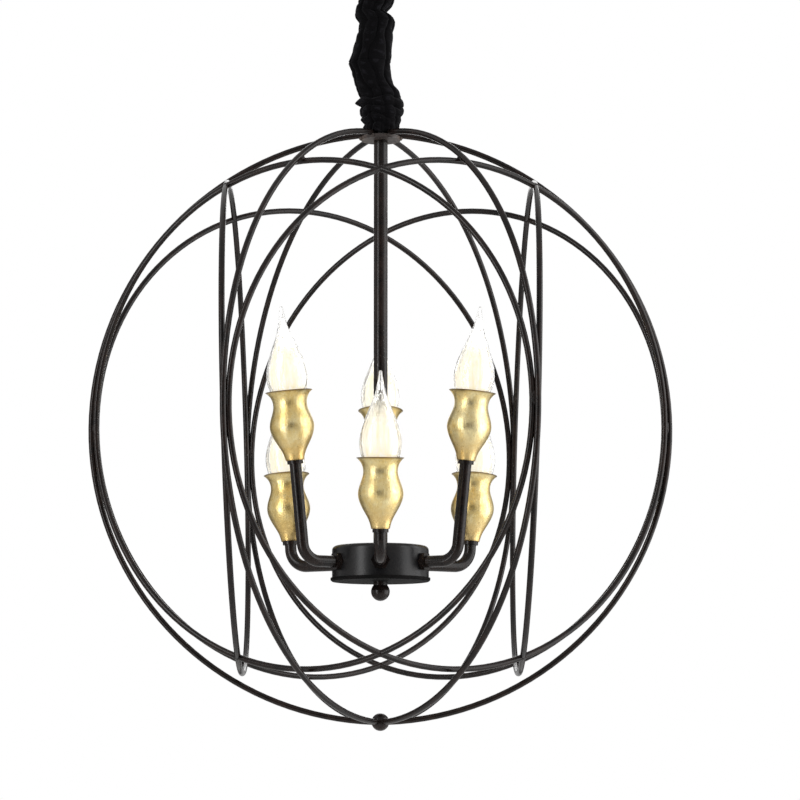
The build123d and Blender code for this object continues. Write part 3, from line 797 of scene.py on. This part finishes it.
def make_glass(number):
    """One flame-shaped glass with an outer and an inner wall that meet at the foot."""
    outer = smooth_line(glass_knots, 90)
    turn = np.linspace(0.3, np.pi / 2, 5)
    tip = np.array([0.0, glass_top - glass_tip]) + glass_tip * np.stack([np.cos(turn), np.sin(turn)], axis=-1)
    inner_knots = [(radius - glass_wall, height) for radius, height in glass_knots[:-1]]
    inner = smooth_line(inner_knots, 70)[::-1]
    profile = np.concatenate([outer, tip[:-1], [(0.0, glass_top)], inner_tip, inner])
    profile[:, 1] += glass_foot
    grid = rippled(turned(profile, glass_columns), number, 0.010)
    grid = np.concatenate([grid, grid[:1]])
    tip_share = np.clip((grid[..., 2] - glass_foot - tip_start) / tip_length, 0, 1)
    piece = grid_piece(f"flame_glass_{number}", on_seat(number, grid), glass, masks={"tip": tip_share})
    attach(piece, f"bulb_{number}")
    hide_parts(f"bulb_glass_{number}")
    return piece


glasses = [make_glass(number) for number in range(1, light_count + 1)]
print("glasses", len(glasses), "with", len(glasses[0].data.polygons), "faces each")


# %% Cores of light
core_knots = [(3.0, 6.0), (9.0, 12.0), (15.0, 30.0), (10.6, 52.0), (3.6, 70.0)]
core_foot, core_top = 5.0, 74.0
fade_start, fade_length, fade_depth = 44.0, 24.0, 0.92
core_columns = 48


def make_core(number):
    """The glow inside a bulb: a smaller flame, closed at both ends, that fades upwards."""
    body = smooth_line(core_knots, 50)
    profile = np.concatenate([[(0.0, core_foot)], body, [(0.0, core_top)]])
    profile[:, 1] += glass_foot
    grid = rippled(turned(profile, core_columns), number + 3, 0.020)
    share = np.clip((profile[:, 1] - glass_foot - fade_start) / fade_length, 0, 1)[:, None]
    masks = {"fade": 1 - fade_depth * share}
    piece = grid_piece(f"bulb_core_{number}", on_seat(number, grid), glow, masks=masks)
    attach(piece, f"bulb_{number}")
    return piece


cores = [make_core(number) for number in range(1, light_count + 1)]
print("cores", len(cores))

# %% [markdown]
# ## The bulbs' screw caps
# The screw cap has a rolled round thread. Its height over the cap's mean radius is a cosine of
# the height and the angle together, which is a helix. It narrows to the small contact below.

# %% Screw caps
cap_radius = 7.0
cap_bottom = 14.7
thread_pitch = 2.82
thread_depth = 0.75
thread_start = cap_bottom + 2.2
contact_height = 1.4
cap_columns = 48


def make_cap(number):
    """A threaded cap: the radius waves along a helix between the skirt and the base."""
    height = np.linspace(thread_start, glass_foot, 120)
    angle = np.linspace(0.0, 2 * np.pi, cap_columns, endpoint=False)
    share = (height - height[0]) / (height[-1] - height[0])
    live = np.clip(share * 8, 0, 1) * np.clip((0.86 - share) * 12, 0, 1)
    wave = 0.5 - 0.5 * np.cos(2 * np.pi * height[:, None] / thread_pitch - angle)
    radius = cap_radius - thread_depth * live[:, None] * wave
    upright = np.broadcast_to(height[:, None], radius.shape)
    shell = np.stack([radius * np.cos(angle), radius * np.sin(angle), upright], axis=-1)
    contact = cap_bottom - contact_height
    base = turned([(0.0, contact), (2.0, contact), (2.9, cap_bottom - 0.7), (3.0, cap_bottom),
                   (4.6, cap_bottom + 0.2), (6.3, cap_bottom + 1.4)], cap_columns)
    top = turned([(0.0, glass_foot)], cap_columns)
    piece = grid_piece(f"screw_cap_{number}", on_seat(number, np.concatenate([base, shell, top])), nickel)
    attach(piece, f"bulb_{number}")
    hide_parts(f"bulb_cap_{number}")
    return piece


caps = [make_cap(number) for number in range(1, light_count + 1)]
print("caps", len(caps))

# %% [markdown]
# ## The velvet sleeve
# A velvet tube is drawn over the chain and pushed together, so it hides the links in puffs and
# creases. Its outline is kept as rows: how far its left and right edges and its depth stand from
# the lamp's axis at each height. Folds are made from the absolute value of a sine, because that
# is round on its crowns and sharp in its creases, as pushed cloth is. The tube is cut near the
# middle of the chain, and the upper piece overlaps the lower one. The hem is a third piece, and
# its scallops lie between the ribs.

# %% Sleeve outline
sleeve_top = -31.3
sleeve_rows = np.array([
    (4.7, -16.5, 17.3, 16.5), (9.0, -15.4, 16.4, 15.6), (11.4, -13.8, 16.1, 14.6),
    (15.3, -17.3, 18.0, 16.2), (21.2, -17.7, 18.8, 17.2), (27.1, -18.4, 19.5, 17.6),
    (30.1, -21.4, 19.5, 17.5), (34.5, -18.1, 18.3, 16.4), (40.0, -19.5, 16.1, 15.8),
    (46.8, -22.4, 11.1, 15.2), (51.8, -23.2, 9.4, 15.0), (57.7, -24.2, 8.2, 15.3),
    (64.6, -27.3, 7.3, 15.4), (70.5, -25.4, 7.9, 15.0), (76.4, -23.7, 8.8, 14.6),
    (82.3, -22.2, 9.2, 14.6), (89.3, -20.6, 9.3, 14.6), (94.2, -18.2, 9.3, 13.8),
    (98.2, -18.0, 10.4, 14.6), (102.2, -18.0, 11.8, 15.2), (106.1, -20.6, 9.7, 15.8),
    (110.1, -22.1, 4.0, 16.0), (112.6, -21.8, 5.2, 15.8), (116.5, -20.6, 8.7, 15.6),
    (122.0, -18.2, 11.3, 15.0), (130.0, -16.5, 13.0, 14.8), (139.4, -14.5, 14.5, 14.5),
])
hem_height = 4.7
hem_dip = 3.4
lower_puff = (24.0, 17.0)
upper_puff = (112.0, 13.0)
fold_count, fold_depth = 9, 0.11
crumple_pitch = 8.5
crumple_depths = (0.012, 0.10, 0.075)
shirring_count, shirring_depth = 24, 0.06
sleeve_wall = 1.2
sleeve_columns = 224


def smooth_noise(across, along, seed):
    """Slow even drift between about -1 and 1, from a few sines that never line up."""
    total = np.sin(across * 2 + along * 0.071 + seed)
    total = total + np.sin(across * 3 - along * 0.113 + 2.3 * seed + 1.0)
    total = total + np.sin(across * 5 + along * 0.197 - 1.7 * seed + 2.0)
    return total / 3


def crease(phase):
    """0 on the crown of a fold and 1 in its crease, with a sharp bottom."""
    return (1 - np.abs(np.sin(phase / 2))) ** 1.6


def sleeve_grid(bottom, top, rows, columns, swell):
    """The sleeve's points between two heights: the outline, then folds and crumples."""
    height = np.linspace(bottom, top, rows)[:, None]
    over = height - plate_top
    left, right, deep = (np.interp(over, sleeve_rows[:, 0], sleeve_rows[:, k]) for k in (1, 2, 3))
    angle = np.linspace(0.0, 2 * np.pi, columns, endpoint=False)[None, :]
    drift = 0.9 * smooth_noise(angle, over, 0.4) + over * 0.006
    long_fold = crease(fold_count * angle + 2.2 * drift)
    low, high = bell(over, *lower_puff), bell(over, *upper_puff)
    cross_depth = crumple_depths[0] + crumple_depths[1] * low + crumple_depths[2] * high
    cross_phase = 2 * np.pi * over / crumple_pitch + 2.6 * smooth_noise(angle, over, 2.1)
    cross_fold = crease(cross_phase)
    shirring_phase = shirring_count * angle + 0.6 * smooth_noise(angle, over, 5.0)
    shirring = bell(over, hem_height, 6.0) * crease(shirring_phase)
    depth = fold_depth * long_fold * (1 - 0.5 * low) + cross_depth * cross_fold
    depth = depth + shirring_depth * shirring
    scale = 1 - depth + 0.03 * smooth_noise(angle, over * 2.5, 3.3)
    middle = (left + right) / 2
    across = middle + ((right - left) / 2 + swell) * scale * np.cos(angle)
    back = (deep + swell) * scale * np.sin(angle)
    between_ribs = (0.5 - 0.5 * np.cos(rib_count * angle)) ** 0.8
    drop = hem_dip * between_ribs * bell(over, hem_height, 3.0)
    points = np.stack([across, back, height - drop], axis=-1)
    # The crown mask is 1 on the crowns of the folds and 0 in the creases: it places the velvet's painted
    # highlight.
    crown = np.clip(1 - 2.2 * long_fold - 1.4 * cross_fold, 0, 1)
    return points * millimetre, crown


# %% Sleeve pieces
def make_sleeve(name, bottom, top, rows, swell):
    """A part of the sleeve: a grid of points and a cloth's thickness."""
    points, crown = sleeve_grid(bottom, top, rows, sleeve_columns, swell)
    piece = grid_piece(name, points, velvet, masks={"crown": crown}, sharp=180.0)
    wall = piece.modifiers.new("cloth", "SOLIDIFY")
    wall.thickness = sleeve_wall * millimetre
    wall.offset = -1.0
    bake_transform(piece)
    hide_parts("fabric_sleeve")
    sides = np.diff(np.concatenate([points, points[:, :1]], axis=1), axis=1)
    rises = np.diff(points, axis=0)
    area = float(np.linalg.norm(np.cross(sides[:-1], rises), axis=-1).sum())
    print(name, "cloth area", round(area, 5), "square metres")
    return piece


sleeve_split = -100.0
hem_overlap = 4.0
hem_split = -150.5
hem_tuck = 2.0
upper_sleeve = make_sleeve(
    "sleeve_upper", sleeve_split - hem_overlap, sleeve_top, 180, 1.3)
lower_sleeve = make_sleeve(
    "sleeve_lower", hem_split - hem_tuck, sleeve_split, 140, 0.8)
sleeve_hem = make_sleeve(
    "sleeve_hem", plate_top + hem_height, hem_split, 50, 0.5)
